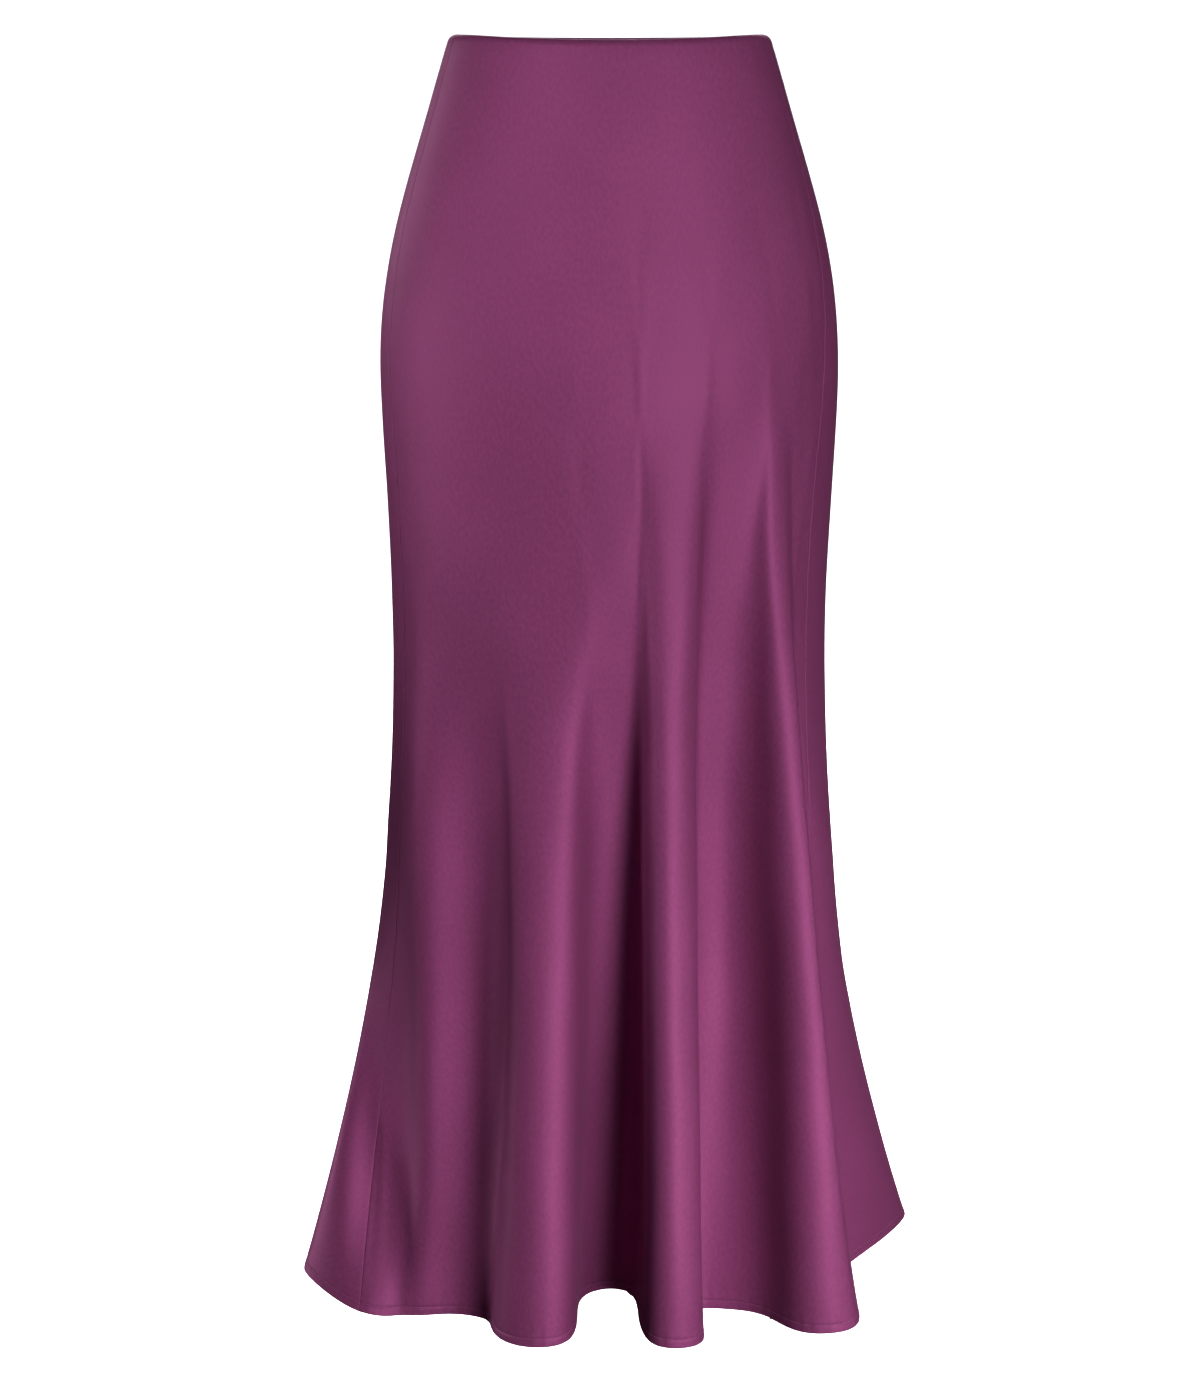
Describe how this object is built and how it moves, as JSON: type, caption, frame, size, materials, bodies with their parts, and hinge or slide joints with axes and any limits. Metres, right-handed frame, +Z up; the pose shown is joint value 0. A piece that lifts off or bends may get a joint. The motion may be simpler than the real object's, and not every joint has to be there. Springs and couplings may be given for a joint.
{
  "type": "mermaid fishtail skirt",
  "caption": "Long hollow satin mermaid skirt as worn: smooth high waist and hips, slim knees, and a flared hem with deep soft flutes.",
  "frame": {"origin": "middle of the waist opening, on the level where the wearer's waist holds the skirt up, 16 mm under the top edge at the back", "axes": "+Z up along the wearer's height, -Y towards the front of the skirt, +X towards the right as seen from the front"},
  "size_m": [0.4836, 0.3583, 0.9624],
  "materials": {
    "plum_satin": "smooth plum satin, soft sheen",
    "plum_satin_wrong_side": "duller wrong side of the plum satin"
  },
  "bodies": {
    "root": {"front_panel": "plum_satin", "back_panel": "plum_satin", "hem_turn_front": "plum_satin_wrong_side", "hem_turn_back": "plum_satin_wrong_side", "waist_turn_front": "plum_satin_wrong_side", "waist_turn_back": "plum_satin_wrong_side"}
  },
  "joints": []
}
